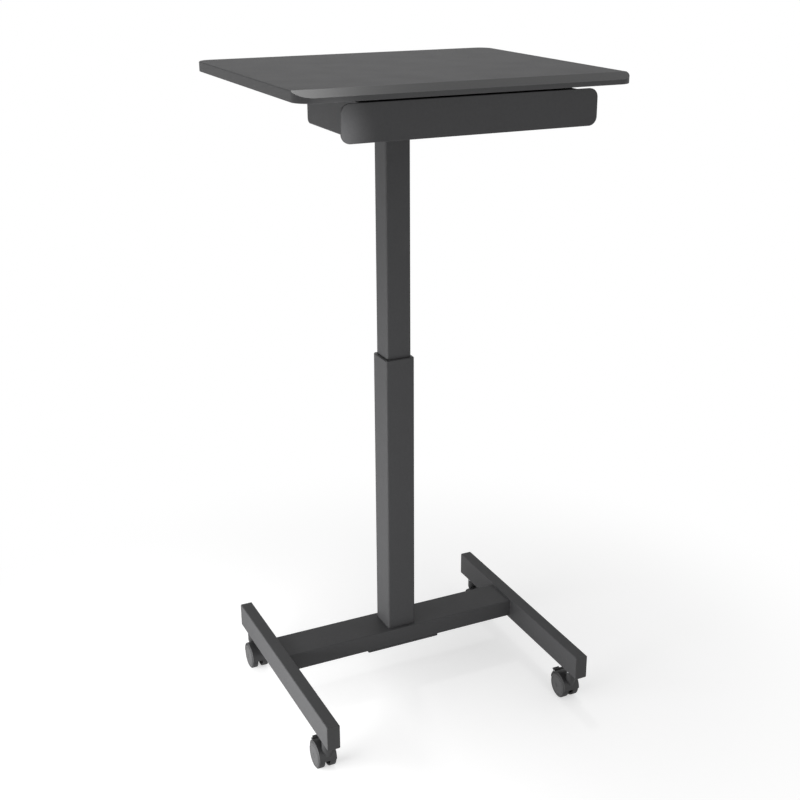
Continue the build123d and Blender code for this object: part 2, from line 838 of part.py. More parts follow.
with BuildPart() as stems:
    with BuildSketch(Plane.XY.offset(stem_foot_z)):
        with Locations(*stem_points):
            Circle(stem_r)
    extrude(amount=leg_under + stem_rise - stem_foot_z)
    with BuildSketch(Plane.XY.offset(leg_under)):
        with Locations(*stem_points):
            RegularPolygon(nut_across / 2, 6, major_radius=False)
    extrude(amount=-stem_collar)
    with BuildSketch(Plane.XY.offset(ring_z - fit_gap)):
        with Locations(*stem_points):
            Circle(stem_r)
            Circle(ring_in_r - fit_gap, mode=Mode.SUBTRACT)
    extrude(amount=ring_height + 2 * fit_gap, mode=Mode.SUBTRACT)
write_step(stems, "caster_stems")

with BuildPart() as snap_rings:
    with BuildSketch(Plane.XY.offset(ring_z)):
        with Locations(*stem_points):
            Circle(ring_out_r)
            Circle(ring_in_r, mode=Mode.SUBTRACT)
    extrude(amount=ring_height)
write_step(snap_rings, "stem_snap_rings")


def caster_plane(x, stem_y, trail):
    """The side plane of a caster: x runs along the trail from the stem, y is up, z is across."""
    return Plane(origin=(x, stem_y, 0), x_dir=(0, trail, 0), z_dir=(trail, 0, 0))


def arc_band(plane, inner_r, outer_r, start, end):
    """A band round the axle, from one angle to another, measured up from the trailing side."""
    with BuildSketch(plane) as band:
        with BuildLine():
            outer_arc = CenterArc(axle_point, outer_r, start, end - start)
            inner_arc = CenterArc(axle_point, inner_r, start, end - start)
            Line(outer_arc @ 0, inner_arc @ 0)
            Line(outer_arc @ 1, inner_arc @ 1)
        make_face()
    return band.sketch


def make_hood(side_plane, start):
    """The rounded hood over both treads, from an angle down to axle level on the stem's side."""
    hood_half = caster_width / 2 - hood_inset
    with BuildPart() as hood:
        extrude(
            arc_band(side_plane.offset(-hood_half), hood_r, hood_r + hood_thick, start, 180),
            amount=2 * hood_half,
        )
        fillet(hood.edges().filter_by(GeomType.CIRCLE).group_by(SortBy.RADIUS)[-1], hood_edge_r)
    return hood


def make_housing(side_plane, stem_x, stem_y, braked):
    """The moulded caster body: a neck for the stem, a web between the wheels and a hood over them."""
    hood_end = front_hood_end if braked else 0.0
    hood = make_hood(side_plane, hood_end)
    with BuildPart() as housing:
        with BuildSketch(Plane((stem_x, stem_y, 0), x_dir=(1, 0, 0), z_dir=(0, -1, 0))):
            with BuildLine():
                Polyline(
                    (0, neck_taper[0]),
                    (neck_foot_r, neck_taper[0]),
                    (neck_r, neck_taper[1]),
                    (neck_r, leg_under - stem_collar - slide_gap),
                    (0, leg_under - stem_collar - slide_gap),
                    close=True,
                )
            make_face()
        revolve(axis=Axis((stem_x, stem_y, 0), (0, 0, 1)))
        for across in (-1, 1):
            with BuildSketch(side_plane.offset(across * web_thick / 2)):
                with Locations(axle_point):
                    Circle(hood_r)
            extrude(amount=across * (caster_width - web_thick) / 2, mode=Mode.SUBTRACT)
        with BuildSketch(side_plane.offset(-web_thick / 2)):
            with BuildLine():
                CenterArc(axle_point, hood_r + hood_thick / 2, 0, 180)
                Line(
                    (caster_trail - hood_r - hood_thick / 2, wheel_r),
                    (caster_trail + hood_r + hood_thick / 2, wheel_r),
                )
            make_face()
            with Locations(axle_point):
                Circle(wheel_hub_r)
            if braked:
                lug_reach = pedal_pivot_r + pedal_lug_r
                pedal_room = arc_band(Plane.XY, hood_r, lug_reach, -pedal_skirt_end, front_hood_end)
                add(pedal_room, mode=Mode.SUBTRACT)
                with Locations(pedal_pivot):
                    Circle(pedal_lug_r)
        extrude(amount=web_thick)
        add(hood.part)
        with BuildSketch(side_plane.offset(-web_thick / 2)):
            with Locations(axle_point):
                Circle(axle_r)
            if braked:
                with Locations(pedal_pivot):
                    Circle(pedal_pin_r)
        extrude(amount=web_thick, mode=Mode.SUBTRACT)
        with BuildSketch(Plane((stem_x, stem_y, leg_under))):
            Circle(stem_r + fit_gap)
        extrude(amount=-(leg_under - stem_foot_z + slide_gap), mode=Mode.SUBTRACT)
        with BuildSketch(Plane((stem_x, stem_y, ring_z - slide_gap))):
            Circle(ring_out_r + slide_gap)
        extrude(amount=ring_height + 2 * slide_gap, mode=Mode.SUBTRACT)
    return housing


def make_wheel(side_plane, across):
    """A moulded cup wheel: hub, thin outer disc, tread rim and ribs, on one side of the web."""
    inner_face = web_thick / 2 + slide_gap
    outer_face = caster_width / 2
    hollow = outer_face - wheel_disc - inner_face
    with BuildPart() as wheel:
        with BuildSketch(side_plane.offset(across * inner_face)):
            with Locations(axle_point):
                Circle(wheel_r)
        extrude(amount=across * (outer_face - inner_face))
        outward = Axis((0, 0, 0), side_plane.z_dir * across)
        face_edge = wheel.edges().filter_by(GeomType.CIRCLE).sort_by(outward)[-1]
        chamfer(face_edge, wheel_chamfer, wheel_r - wheel_face_r)
        with BuildSketch(side_plane.offset(across * inner_face)):
            with Locations(axle_point):
                Circle(wheel_r - wheel_rim)
                Circle(wheel_hub_r, mode=Mode.SUBTRACT)
                with PolarLocations((wheel_hub_r + wheel_r - wheel_rim) / 2, wheel_rib_count):
                    Rectangle(wheel_r - wheel_rim - wheel_hub_r + cut_over, wheel_rib, mode=Mode.SUBTRACT)
        extrude(amount=across * hollow, mode=Mode.SUBTRACT)
        with BuildSketch(side_plane.offset(across * inner_face)):
            with Locations(axle_point):
                Circle(axle_r + fit_gap)
        extrude(amount=across * (outer_face - axle_end_clear + fit_gap - inner_face), mode=Mode.SUBTRACT)
        with BuildSketch(side_plane.offset(across * outer_face)):
            with Locations(axle_point):
                Circle(face_groove_r)
                Circle(face_groove_r - face_groove_width, mode=Mode.SUBTRACT)
                Circle(hub_dish_r)
        extrude(amount=-across * face_groove_depth, mode=Mode.SUBTRACT)
    return wheel


def make_axle(side_plane):
    """The steel axle through the web, ending inside the two hubs."""
    reach = caster_width / 2 - axle_end_clear
    with BuildPart() as axle:
        with BuildSketch(side_plane.offset(-reach)):
            with Locations(axle_point):
                Circle(axle_r)
        extrude(amount=2 * reach)
    return axle


def make_pedal(side_plane):
    """The brake pedal: a curved skirt over the treads, ears on its pin, two shoes and a toe tab."""
    skirt_r = hood_r + hood_thick / 2
    ear_start = web_thick / 2 + slide_gap
    ear_width = pedal_width / 2 - ear_start
    tab_angle = radians(pedal_tab_angle)
    with BuildPart() as pedal:
        skirt = arc_band(
            side_plane.offset(-pedal_width / 2),
            skirt_r,
            skirt_r + pedal_sheet,
            pedal_skirt_end,
            pedal_pivot_angle,
        )
        extrude(skirt, amount=pedal_width)
        for across in (-1, 1):
            with BuildSketch(side_plane.offset(across * ear_start)):
                with Locations(pedal_pivot):
                    Circle(pedal_lug_r - fit_gap)
            extrude(amount=across * ear_width)
            shoe = arc_band(
                side_plane.offset(across * ear_start),
                wheel_r + slide_gap,
                skirt_r,
                shoe_angle - shoe_width,
                shoe_angle + shoe_width,
            )
            extrude(shoe, amount=across * ear_width)
        with BuildSketch(side_plane.offset(-pedal_tab_width / 2)):
            tab_middle = (skirt_r + pedal_tab_reach) / 2
            with Locations(
                Location(
                    (caster_trail + tab_middle * cos(tab_angle), wheel_r + tab_middle * sin(tab_angle)),
                    pedal_tab_angle,
                )
            ):
                RectangleRounded(pedal_tab_reach - skirt_r, pedal_tab_sheet, pedal_tab_r)
            for ridge in range(pedal_ridge_count):
                ridge_reach = pedal_tab_reach - pedal_tab_r - (ridge + 1) * pedal_ridge_step
                ridge_x = ridge_reach * cos(tab_angle) - pedal_tab_sheet / 2 * sin(tab_angle)
                ridge_z = ridge_reach * sin(tab_angle) + pedal_tab_sheet / 2 * cos(tab_angle)
                with Locations((caster_trail + ridge_x, wheel_r + ridge_z)):
                    Circle(pedal_ridge_r)
        extrude(amount=pedal_tab_width)
        with BuildSketch(side_plane.offset(-pedal_width / 2)):
            with Locations(pedal_pivot):
                Circle(pedal_pin_r + fit_gap)
        extrude(amount=pedal_width, mode=Mode.SUBTRACT)
        with BuildSketch(side_plane.offset(-ear_start)):
            with Locations(pedal_pivot):
                Circle(pedal_lug_r + slide_gap)
        extrude(amount=2 * ear_start, mode=Mode.SUBTRACT)
    return pedal


def make_pedal_pin(side_plane):
    """The steel pin that the pedal turns on, held in the web's lug."""
    with BuildPart() as pin:
        with BuildSketch(side_plane.offset(-pedal_width / 2)):
            with Locations(pedal_pivot):
                Circle(pedal_pin_r)
        extrude(amount=pedal_width)
    return pin


for end_name, stem_y, trail in caster_offsets:
    for side_name, side in sides:
        corner = f"{end_name}_{side_name}"
        braked = end_name == "front"
        plane = caster_plane(side * leg_x, stem_y, trail)
        outward = side * trail
        write_step(make_housing(plane, side * leg_x, stem_y, braked), f"{corner}_caster_housing")
        write_step(make_axle(plane), f"{corner}_caster_axle")
        write_step(make_wheel(plane, outward), f"{corner}_outer_wheel")
        write_step(make_wheel(plane, -outward), f"{corner}_inner_wheel")
        if braked:
            write_step(make_pedal(plane), f"{corner}_brake_pedal")
            write_step(make_pedal_pin(plane), f"{corner}_pedal_pin")
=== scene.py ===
"""The looks of a rolling laptop table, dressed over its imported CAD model.

Lengths are metres, except where a heading or a name says millimetres, in the model's own frame: +X to
the user's right, -Y towards the user, +Z up.
"""
import json
from math import radians

import bmesh
import bpy
import numpy as np
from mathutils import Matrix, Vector

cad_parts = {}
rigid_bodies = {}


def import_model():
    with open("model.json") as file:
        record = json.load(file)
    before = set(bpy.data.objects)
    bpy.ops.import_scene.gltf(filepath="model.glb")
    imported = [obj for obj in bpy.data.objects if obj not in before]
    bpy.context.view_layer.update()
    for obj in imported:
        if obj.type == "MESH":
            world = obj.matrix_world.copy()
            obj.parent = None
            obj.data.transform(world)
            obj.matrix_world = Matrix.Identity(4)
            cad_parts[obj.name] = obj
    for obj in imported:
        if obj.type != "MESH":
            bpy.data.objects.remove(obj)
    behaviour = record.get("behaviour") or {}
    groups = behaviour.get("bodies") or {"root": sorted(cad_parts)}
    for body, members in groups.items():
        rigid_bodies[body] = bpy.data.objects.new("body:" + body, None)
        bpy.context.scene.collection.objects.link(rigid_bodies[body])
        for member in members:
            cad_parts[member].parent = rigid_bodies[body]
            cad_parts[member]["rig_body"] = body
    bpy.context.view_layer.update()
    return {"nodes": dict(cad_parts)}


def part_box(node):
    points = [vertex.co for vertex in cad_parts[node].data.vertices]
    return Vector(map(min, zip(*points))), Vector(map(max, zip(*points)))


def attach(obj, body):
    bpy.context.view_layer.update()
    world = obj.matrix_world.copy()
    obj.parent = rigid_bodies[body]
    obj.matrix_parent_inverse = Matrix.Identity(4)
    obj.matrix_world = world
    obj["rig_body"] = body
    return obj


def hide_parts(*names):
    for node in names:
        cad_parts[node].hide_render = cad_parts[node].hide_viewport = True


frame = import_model()
nodes = frame["nodes"]

MM = 0.001
ENDS = ("front", "rear")
SIDES = ("left", "right")
CORNERS = [f"{end}_{side}" for end in ENDS for side in SIDES]
BRAKED = [f"front_{side}" for side in SIDES]

# Camera, at the photograph's place
CAMERA_PLACE = (-0.9602, -2.0329, 1.4736)
CAMERA_TILT = 69.45
CAMERA_TURN = -25.88
CAMERA_LENS = 56.69
CAMERA_SHIFT = (-0.0244, -0.0057)
CAMERA_REACH = 100.0

# Light: a pale room all round, a low soft box at the left, a weak one in front, a small one behind that
# gleams on the bevel, and a snooted lamp on the near corner of the drawer
WHITE = (1, 1, 1, 1)
ROOM_LIGHT = 0.47
SOFT_BOXES = {
    "left_soft_box": {
        "place": (-1.12, -0.1, 0.2), "aim": (0.0, 0.0, 0.2), "size": (1.2, 0.3), "power": 23.5,
    },
    "front_soft_box": {
        "place": (0.4, -1.9, 0.7), "aim": (0.0, 0.0, 0.7), "size": (0.9, 1.4), "power": 6.9,
    },
    "rear_soft_box": {
        "place": (0.47, 1.435, 2.915), "aim": (-0.3, -0.246, 1.236), "size": (0.3, 0.3), "power": 7.0,
    },
}
CORNER_LAMP = {
    "place": (-0.3, -1.6, 1.8), "aim": (-0.245, -0.26, 1.168),
    "cone": 4.6, "radius": 0.03, "power": 230.0,
}

# Floor: paper that takes the table's shadow, and glows white more and more with its distance. The
# camera sees the paper paler than the light that it throws back.
FLOOR_REACH = 12.0
FLOOR_PALE = 0.86
FLOOR_SEEN = 1.32
GLOW_NEAR = 0.42
GLOW_FAR = 1.1
LEAST_GLOW = 0.5

# Shape of the copies that stand for CAD nodes
MERGE_GAP = 0.002 * MM
FLAT_ANGLE = radians(0.4)
EDGE_ANGLE = radians(32.0)
EDGE_ROWS = 3

# Faces of the board: upright if their normal rises less than this, bevel if it leans forward this much
UPRIGHT = 0.6
BEVEL_LEAN = -0.2

# How far the edges of each piece are eased, in millimetres
BOARD_EASE = 0.15
STEEL_EASE = {
    "left_leg": 0.4, "right_leg": 0.4, "crossbeam": 0.5, "outer_tube": 0.5, "inner_tube": 0.5,
    "column_foot_plate": 0.6, "head_plate": 0.6, "head_bracket": 0.4, "lever_clevis": 0.3,
    "release_lever": 0.5, "drawer_front": 0.3, "drawer_tray": 0.15, "left_drawer_runner": 0.2,
    "right_drawer_runner": 0.2,
}
NYLON_EASE = {
    "leg_end_caps": 0.3, "upper_bush": 0.2, "lower_glide": 0.2, "left_drawer_glide": 0.2,
    "right_drawer_glide": 0.2,
    **{f"{corner}_caster_housing": 0.5 for corner in CORNERS},
    **{f"{corner}_brake_pedal": 0.4 for corner in BRAKED},
}
ROD_EASE = 0.15
WHEEL_EASE = 0.12

# Colours of the finishes
COAT_DARK, COAT_PALE = "#363637", "#3d3d3e"
BOARD_DARK, BOARD_PALE = "#3f3f40", "#4c4c4d"
# The bevel's tones are the board's facing darkened: painted shade.
BEVEL_SHADED_DARK, BEVEL_SHADED_PALE = "#323233", "#3b3b3c"
BAND_DARK, BAND_PALE = "#323233", "#3a3a3b"
NYLON_DARK, NYLON_PALE = "#1e1e1f", "#252526"
DISC_DARK, DISC_PALE = "#303031", "#383839"
TREAD_DARK, TREAD_PALE = "#212122", "#2a2a2b"
ZINC_DARK, ZINC_PALE = "#9a9c9f", "#b9bbbd"
CHROME_DARK, CHROME_PALE = "#c4c6c9", "#d8dadc"

# Caster wheel, in millimetres
WHEEL_R = 25.5
WHEEL_FACE_R = 22.5
WHEEL_SHOULDER = 1.6
TREAD_WALL = 3.5
DISC_WALL = 2.5
HUB_R = 7.0
BORE_R = 3.05
BORE_DEPTH = 9.75
RIM_CHAMFER = 0.4
GROOVE_OUT, GROOVE_IN = 20.0, 19.1
DISH_R = 5.0
DISH_SIDE = 0.4
FACE_SINK = 0.6
RIB_COUNT = 6
RIB_WALL = 1.6
RIB_RECESS = 0.6
RIB_ROOT = 0.5
TURN_STEPS = 96

# Its rounded edges, as (out, up) from the full radius at the open side and at the shoulder, and from
# the edge of the face
TREAD_FOOT = ((-0.9, 0.0), (-0.25, 0.3), (0.0, 1.0))
TREAD_SHOULDER = ((0.0, -0.3), (-0.35, 0.15))
FACE_EDGE = ((0.5, -0.15), (0.0, 0.0))

# Hex heads and nuts: the top of the crown's cone and the depth of the crown, in halves of the distance
# across flats, and the slope of the cone
HEX_TURN = radians(60.0)
HEX_TOP = 0.95
HEX_CROWN = 0.2
HEX_SLOPE = radians(30.0)

# Threads: depth in pitches; the fade at each end and the play in a nut, in millimetres
THREAD_DEPTH = 0.54
THREAD_FADE = 1.0
BORE_PLAY = 0.05

# Fasteners, in millimetres; radius is that of the shank
FOOT_BOLT = {"across": 13.0, "head": 5.3, "radius": 4.0, "pitch": 1.25}
HEAD_BOLT = {"across": 10.0, "head": 4.0, "radius": 3.0, "pitch": 1.0}
STUD_NUT = {"across": 17.0, "height": 6.0, "bore": 5.05}
SCREW_HEAD_R = 4.0
BRACKET_SCREW = {"head": 2.4, "radius": 2.0, "pitch": 1.6}
RUNNER_SCREW = {"head": 0.75, "radius": 2.0, "pitch": 1.6}
PANEL_SCREW = {"head": 2.4, "radius": 1.75, "pitch": 1.4}

# Cross recess of a screw: half width, reach and the run of their edges in radii of the head, depth in
# the middle and its loss per radius in heights of the head
SLOT_HALF, SLOT_SIDE = 0.13, 0.05
SLOT_REACH, SLOT_END = 0.62, 0.08
SLOT_DEPTH, SLOT_RISE = 0.66, 0.6

# Lever grip, in millimetres but for the power of its sections and the share that its width tapers
GRIP_TIP = 9.0
GRIP_ROOT = 1.5
GRIP_SQUARE = 5
GRIP_TAPER = 0.35

# Grooves under the grip, in millimetres but for the sine round its section that they stay under
FINGER_FROM_ROOT, FINGER_FROM_TIP = 14.0, 20.0
FINGER_FADE = 4.0
FINGER_PITCH = 7.0
FINGER_DEPTH = 0.7
FINGER_SIDE = -0.5


def linear(colour):
    """An sRGB hex colour as linear red, green, blue and alpha."""
    shown = np.array([int(colour[i:i + 2], 16) for i in (1, 3, 5)]) / 255
    light = np.where(shown <= 0.04045, shown / 12.92, ((shown + 0.055) / 1.055) ** 2.4)
    return (*light.tolist(), 1.0)


# Finishes


def add(tree, kind, inputs=(), **settings):
    """Add a shader node, with its properties, and its inputs given as values or as sockets to link."""
    node = tree.nodes.new(kind)
    for name, value in settings.items():
        setattr(node, name, value)
    for name, value in dict(inputs).items():
        if isinstance(value, bpy.types.NodeSocket):
            tree.links.new(value, node.inputs[name])
        else:
            node.inputs[name].default_value = value
    return node


def grain(size_mm):
    """The scale of a pattern whose grains are about this many millimetres across."""
    return 1 / (size_mm * MM)


def new_finish(name, roughness, metallic=0.0, ior=1.5, specular=0.5):
    """An empty material with one shader, and the place of each point on the piece."""
    material = bpy.data.materials.new(name)
    material.use_nodes = True
    tree = material.node_tree
    shader = tree.nodes["Principled BSDF"]
    shader.inputs["Roughness"].default_value = roughness
    shader.inputs["Metallic"].default_value = metallic
    shader.inputs["IOR"].default_value = ior
    shader.inputs["Specular IOR Level"].default_value = specular
    place = add(tree, "ShaderNodeTexCoord").outputs["Object"]
    return material, tree, shader, place


def wear(tree, shader, tone, dark, pale, sheen=None, height=None, depth_mm=0.0):
    """Drive a shader from patterns: colour between two tones, roughness in a range, and relief."""
    mix = add(tree, "ShaderNodeMix", {0: tone, 6: linear(dark), 7: linear(pale)}, data_type="RGBA")
    tree.links.new(mix.outputs[2], shader.inputs["Base Color"])
    if sheen:
        tree.links.new(sheen, shader.inputs["Roughness"])
    if height:
        bump = add(tree, "ShaderNodeBump", {"Height": height, "Distance": depth_mm * MM})
        tree.links.new(bump.outputs["Normal"], shader.inputs["Normal"])


def powder_coated_steel():
    """Mild steel tube and sheet under baked polyester powder: matte black with a fine orange peel.

    The peel's bumps are about 1 mm apart, too fine to show here, so they are drawn 1.8 mm apart.
    """
    material, tree, shader, place = new_finish("powder_coated_steel", 0.66, specular=0.25)
    flow = add(tree, "ShaderNodeTexNoise", {"Vector": place, "Scale": grain(5), "Detail": 4.0})
    depth = add(tree, "ShaderNodeTexNoise", {"Vector": place, "Scale": grain(40)})
    peel = add(tree, "ShaderNodeTexNoise", {"Vector": place, "Scale": grain(1.8), "Detail": 1.0})
    sheen = add(
        tree, "ShaderNodeMapRange", {"Value": depth.outputs["Fac"], "To Min": 0.62, "To Max": 0.7}
    )
    wear(
        tree, shader, flow.outputs["Fac"], COAT_DARK, COAT_PALE,
        sheen=sheen.outputs[0], height=peel.outputs["Fac"], depth_mm=0.12,
    )
    return material


def melamine_board():
    """Chipboard faced with black melamine paper, pressed with a pearl texture: a dull, even black.

    The pearls are about 0.5 mm across and are drawn 1.8 mm across, to show.
    """
    material, tree, shader, place = new_finish("melamine_faced_board", 0.72, specular=0.3)
    paper = add(tree, "ShaderNodeTexNoise", {"Vector": place, "Scale": grain(3), "Detail": 4.0})
    press = add(tree, "ShaderNodeTexNoise", {"Vector": place, "Scale": grain(60), "Detail": 1.0})
    pearl = add(
        tree, "ShaderNodeTexVoronoi", {"Vector": place, "Scale": grain(1.8)}, feature="SMOOTH_F1"
    )
    sheen = add(
        tree, "ShaderNodeMapRange", {"Value": press.outputs["Fac"], "To Min": 0.68, "To Max": 0.76}
    )
    wear(
        tree, shader, paper.outputs["Fac"], BOARD_DARK, BOARD_PALE,
        sheen=sheen.outputs[0], height=pearl.outputs["Distance"], depth_mm=0.12,
    )
    return material


def bevel_film():
    """The facing drawn tight over the bevel, its pearls pulled flat: it gleams more than the face. Its
    tones, darker than the board's, are painted shade.
    """
    material, tree, shader, place = new_finish("glossy_bevel_film_painted_shade", 0.35, specular=0.13)
    drawn = add(tree, "ShaderNodeTexNoise", {"Vector": place, "Scale": grain(3), "Detail": 4.0})
    # Painted shade: the bevel's tones are set darker than the board's own.
    wear(tree, shader, drawn.outputs["Fac"], BEVEL_SHADED_DARK, BEVEL_SHADED_PALE)
    return material


def edge_banding():
    """Extruded ABS edging glued round the board and scraped flush: smoother than the face."""
    material, tree, shader, place = new_finish("abs_edge_banding", 0.55, specular=0.3)
    along = add(tree, "ShaderNodeMapping", {"Vector": place, "Scale": (1.0, 1.0, 6.0)})
    drawn = add(
        tree, "ShaderNodeTexNoise", {"Vector": along.outputs[0], "Scale": grain(6), "Detail": 2.0}
    )
    wear(
        tree, shader, drawn.outputs["Fac"], BAND_DARK, BAND_PALE,
        height=drawn.outputs["Fac"], depth_mm=0.03,
    )
    return material


def moulded_nylon():
    """Black glass-filled nylon, injection moulded in a spark-eroded tool: a fine even matte.

    The eroded pits are about 0.1 mm across and are drawn 1.2 mm across, to show.
    """
    material, tree, shader, place = new_finish("moulded_black_nylon", 0.52, ior=1.53, specular=0.4)
    fill = add(tree, "ShaderNodeTexNoise", {"Vector": place, "Scale": grain(5), "Detail": 3.0})
    pits = add(tree, "ShaderNodeTexVoronoi", {"Vector": place, "Scale": grain(1.2)})
    wear(
        tree, shader, fill.outputs["Fac"], NYLON_DARK, NYLON_PALE,
        height=pits.outputs["Distance"], depth_mm=0.02,
    )
    return material


def wheel_disc_nylon():
    """The wheel's moulded nylon body, a little paler than its tread, with a faint moulding bloom."""
    material, tree, shader, place = new_finish("moulded_wheel_nylon", 0.5, ior=1.53, specular=0.4)
    bloom = add(tree, "ShaderNodeTexNoise", {"Vector": place, "Scale": grain(4), "Detail": 3.0})
    pits = add(tree, "ShaderNodeTexVoronoi", {"Vector": place, "Scale": grain(1.2)})
    wear(
        tree, shader, bloom.outputs["Fac"], DISC_DARK, DISC_PALE,
        height=pits.outputs["Distance"], depth_mm=0.015,
    )
    return material


def cast_polyurethane():
    """Cast polyurethane tyre, dulled and lightly scuffed where it meets the floor."""
    material, tree, shader, place = new_finish("cast_polyurethane_tread", 0.6, specular=0.35)
    scuff = add(tree, "ShaderNodeTexNoise", {"Vector": place, "Scale": grain(3), "Detail": 5.0})
    sheen = add(
        tree, "ShaderNodeMapRange", {"Value": scuff.outputs["Fac"], "To Min": 0.52, "To Max": 0.72}
    )
    wear(
        tree, shader, scuff.outputs["Fac"], TREAD_DARK, TREAD_PALE,
        sheen=sheen.outputs[0], height=scuff.outputs["Fac"], depth_mm=0.05,
    )
    return material


def zinc_plated_steel():
    """Cold-headed steel plated with clear passivated zinc: a soft grey metal, clouded in patches."""
    material, tree, shader, place = new_finish("zinc_plated_steel", 0.34, metallic=1.0)
    cloud = add(tree, "ShaderNodeTexNoise", {"Vector": place, "Scale": grain(2.5), "Detail": 3.0})
    sheen = add(
        tree, "ShaderNodeMapRange", {"Value": cloud.outputs["Fac"], "To Min": 0.28, "To Max": 0.42}
    )
    wear(tree, shader, cloud.outputs["Fac"], ZINC_DARK, ZINC_PALE, sheen=sheen.outputs[0])
    return material


def hard_chromed_rod():
    """Ground steel rod with hard chrome: bright, with fine grinding marks round it."""
    material, tree, shader, place = new_finish("hard_chromed_rod", 0.12, metallic=1.0)
    round_it = add(tree, "ShaderNodeMapping", {"Vector": place, "Scale": (0.1, 0.1, 1.0)})
    marks = add(
        tree, "ShaderNodeTexNoise", {"Vector": round_it.outputs[0], "Scale": grain(0.8), "Detail": 1.0}
    )
    wear(
        tree, shader, marks.outputs["Fac"], CHROME_DARK, CHROME_PALE,
        height=marks.outputs["Fac"], depth_mm=0.004,
    )
    return material


coat = powder_coated_steel()
board = melamine_board()
film = bevel_film()
banding = edge_banding()
nylon = moulded_nylon()
disc = wheel_disc_nylon()
tread = cast_polyurethane()
zinc = zinc_plated_steel()
chrome = hard_chromed_rod()


# Shapes worked out on grids, in millimetres


def grid_quads(rows, columns):
    """The quads between the points of a grid whose last column joins its first, row by row."""
    row = np.arange(rows - 1)[:, None]
    column = np.arange(columns)[None, :]
    after = (column + 1) % columns
    corners = [row * columns + column, row * columns + after]
    corners += [(row + 1) * columns + after, (row + 1) * columns + column]
    return np.stack(corners, -1).reshape(-1, 4)


def wrapped(radius, level, steps):
    """A closed surface of rows by angles: x = r cos t, y = r sin t, z = level of the row."""
    angle = np.linspace(0, 2 * np.pi, steps, endpoint=False)
    radius = radius * np.ones((len(level), steps))
    up = np.outer(level, np.ones(steps))
    points = np.stack([radius * np.cos(angle), radius * np.sin(angle), up], -1)
    return points.reshape(-1, 3), grid_quads(len(level), steps)


def turned(profile, steps=TURN_STEPS):
    """A profile of (radius, height) pairs turned about z."""
    radius, level = np.array(profile, float).T
    return wrapped(radius[:, None], level, steps)


def hex_solid(across, height, bore, steps=72, levels=7):
    """A hex head or nut on its plain face, with its corners on the x axis and a bore if one is given.

    At angle t the side stands at a / cos(t - middle of the nearest flat), a being half the distance
    across flats. Near the top it is cut to the crown's cone.
    """
    flat_r = across / 2
    angle = np.linspace(0, 2 * np.pi, steps, endpoint=False)
    flats = flat_r / np.cos(angle % HEX_TURN - HEX_TURN / 2)
    level = np.append(0.0, np.linspace(height - HEX_CROWN * flat_r, height, levels))
    cone = HEX_TOP * flat_r + (height - level) / np.tan(HEX_SLOPE)
    side = np.minimum(flats[None, :], cone[:, None])
    inner = np.full((1, steps), float(bore))
    radius = np.concatenate([inner, side, inner])
    level = np.concatenate([[0.0], level, [height]])
    if bore:
        radius = np.concatenate([radius, inner])
        level = np.append(level, 0.0)
    return wrapped(radius, level, steps)


def threaded(radius, pitch, length, steps=24, rows=6):
    """A threaded shank along z, with so many rows of points to a pitch.

    At height z and angle t its radius is R - d w, d being the thread's depth and w a triangle wave of
    z / pitch - t / 2 pi, which fades out at both ends.
    """
    angle = np.linspace(0, 2 * np.pi, steps, endpoint=False)
    level = np.append(np.arange(0, length - pitch / (2 * rows), pitch / rows), length)
    wave = np.abs(2 * ((level[:, None] / pitch - angle / (2 * np.pi)) % 1) - 1)
    fade = np.clip(np.minimum(level, length - level) / THREAD_FADE, 0, 1)[:, None]
    side = radius - THREAD_DEPTH * pitch * wave * fade
    ends = np.zeros((1, steps))
    level = np.concatenate([[0.0], level, [length]])
    return wrapped(np.concatenate([ends, side, ends]), level, steps)


def pan_head(radius, height, steps=64, rings=22):
    """A pan head with a cross recess: the crown is z = h (1 - (r / R)^4)^(1/2).

    The cross sinks where |x| or |y| is under a slot's half width and r is under its reach, deepest in
    the middle.
    """
    angle = np.linspace(0, 2 * np.pi, steps, endpoint=False)
    ring = np.sqrt(np.linspace(1, 0, rings))[:, None]
    across = ring * np.cos(angle)
    along = ring * np.sin(angle)
    narrow = np.minimum(np.abs(across), np.abs(along))
    in_width = np.clip((SLOT_HALF - narrow) / SLOT_SIDE + 0.5, 0, 1)
    in_reach = np.clip((SLOT_REACH - ring) / SLOT_END + 0.5, 0, 1)
    crown = np.sqrt(np.clip(1 - ring ** 4, 0, 1))
    level = height * (crown - (SLOT_DEPTH - SLOT_RISE * ring) * in_width * in_reach)
    points = np.stack([radius * across, radius * along, level], -1)
    foot = np.zeros((1, steps, 3))
    return np.concatenate([foot, points]).reshape(-1, 3), grid_quads(rings + 1, steps)


def slab(low, high):
    """A closed box as four rows of four corners: its two end rows are drawn in to a point."""
    low, high = np.array(low, float), np.array(high, float)
    ring = np.array([(0, 0), (1, 0), (1, 1), (0, 1)], float)
    flat = low[:2] + ring * (high - low)[:2]
    middle = np.broadcast_to((low + high)[:2] / 2, (4, 2))
    rows = [(middle, low[2]), (flat, low[2]), (flat, high[2]), (middle, high[2])]
    points = np.concatenate([np.column_stack([xy, np.full(4, z)]) for xy, z in rows])
    return points, grid_quads(4, 4)


